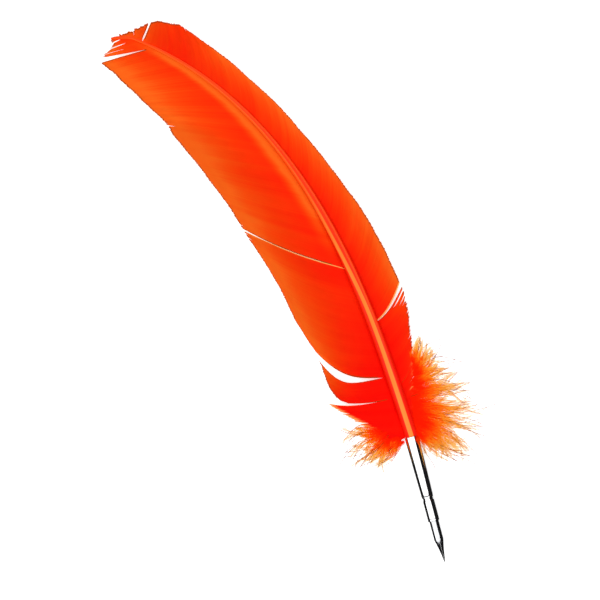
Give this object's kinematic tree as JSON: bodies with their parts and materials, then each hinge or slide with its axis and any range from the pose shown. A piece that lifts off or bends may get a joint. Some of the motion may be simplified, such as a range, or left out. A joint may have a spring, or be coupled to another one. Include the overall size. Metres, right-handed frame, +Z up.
{
  "type": "quill pen",
  "caption": "Dyed wing-feather quill pen with a tapered metal ferrule, a round nib holder and a push-in split steel nib.",
  "frame": {"origin": "centre of the overall box's underside, on the surface that the pen lies on, grooved side of the feather up", "axes": "+Y from the writing point to the feather's tip, +Z up from the surface, the feather bends towards -X"},
  "size_m": [0.1352, 0.2912, 0.0108],
  "materials": {
    "quill_horn": "satin",
    "pith": "matte",
    "vane": "satin",
    "down": "matte",
    "bright_metal": "polished",
    "adhesive": "gloss",
    "spring_steel": "satin",
    "nib_steel": "polished"
  },
  "bodies": {
    "feather": {"quill_shaft": "quill_horn", "shaft_pith": "pith", "pulp_caps": "pith", "wide_vane_tip": "vane", "wide_vane_upper": "vane", "wide_vane_lower": "vane", "wide_clump_upper": "vane", "wide_clump_lower": "vane", "wide_down": "down", "narrow_vane_tip": "vane", "narrow_vane": "vane", "narrow_clump": "vane", "narrow_down": "down", "ferrule": "bright_metal", "ferrule_adhesive": "adhesive", "nib_holder": "bright_metal", "nib_clutch": "spring_steel"},
    "nib": {"nib": "nib_steel"},
    "tine_left": {"tine_left": "nib_steel"},
    "tine_right": {"tine_right": "nib_steel"}
  },
  "joints": [
    {"name": "nib_slide", "type": "slide", "parent": "feather", "child": "nib", "axis": [0, -1, 0], "range_m": [0, 0.012]},
    {"name": "tine_left_flex", "type": "hinge", "parent": "nib", "child": "tine_left", "pos_m": [0.03078, -0.13362, 0.0053], "axis": [0, 0, -1], "range_deg": [0, 2.5], "stiffness_Nm_per_rad": 0.02},
    {"name": "tine_right_flex", "type": "hinge", "parent": "nib", "child": "tine_right", "pos_m": [0.03348, -0.13362, 0.0053], "axis": [0, 0, 1], "range_deg": [0, 2.5], "stiffness_Nm_per_rad": 0.02}
  ]
}
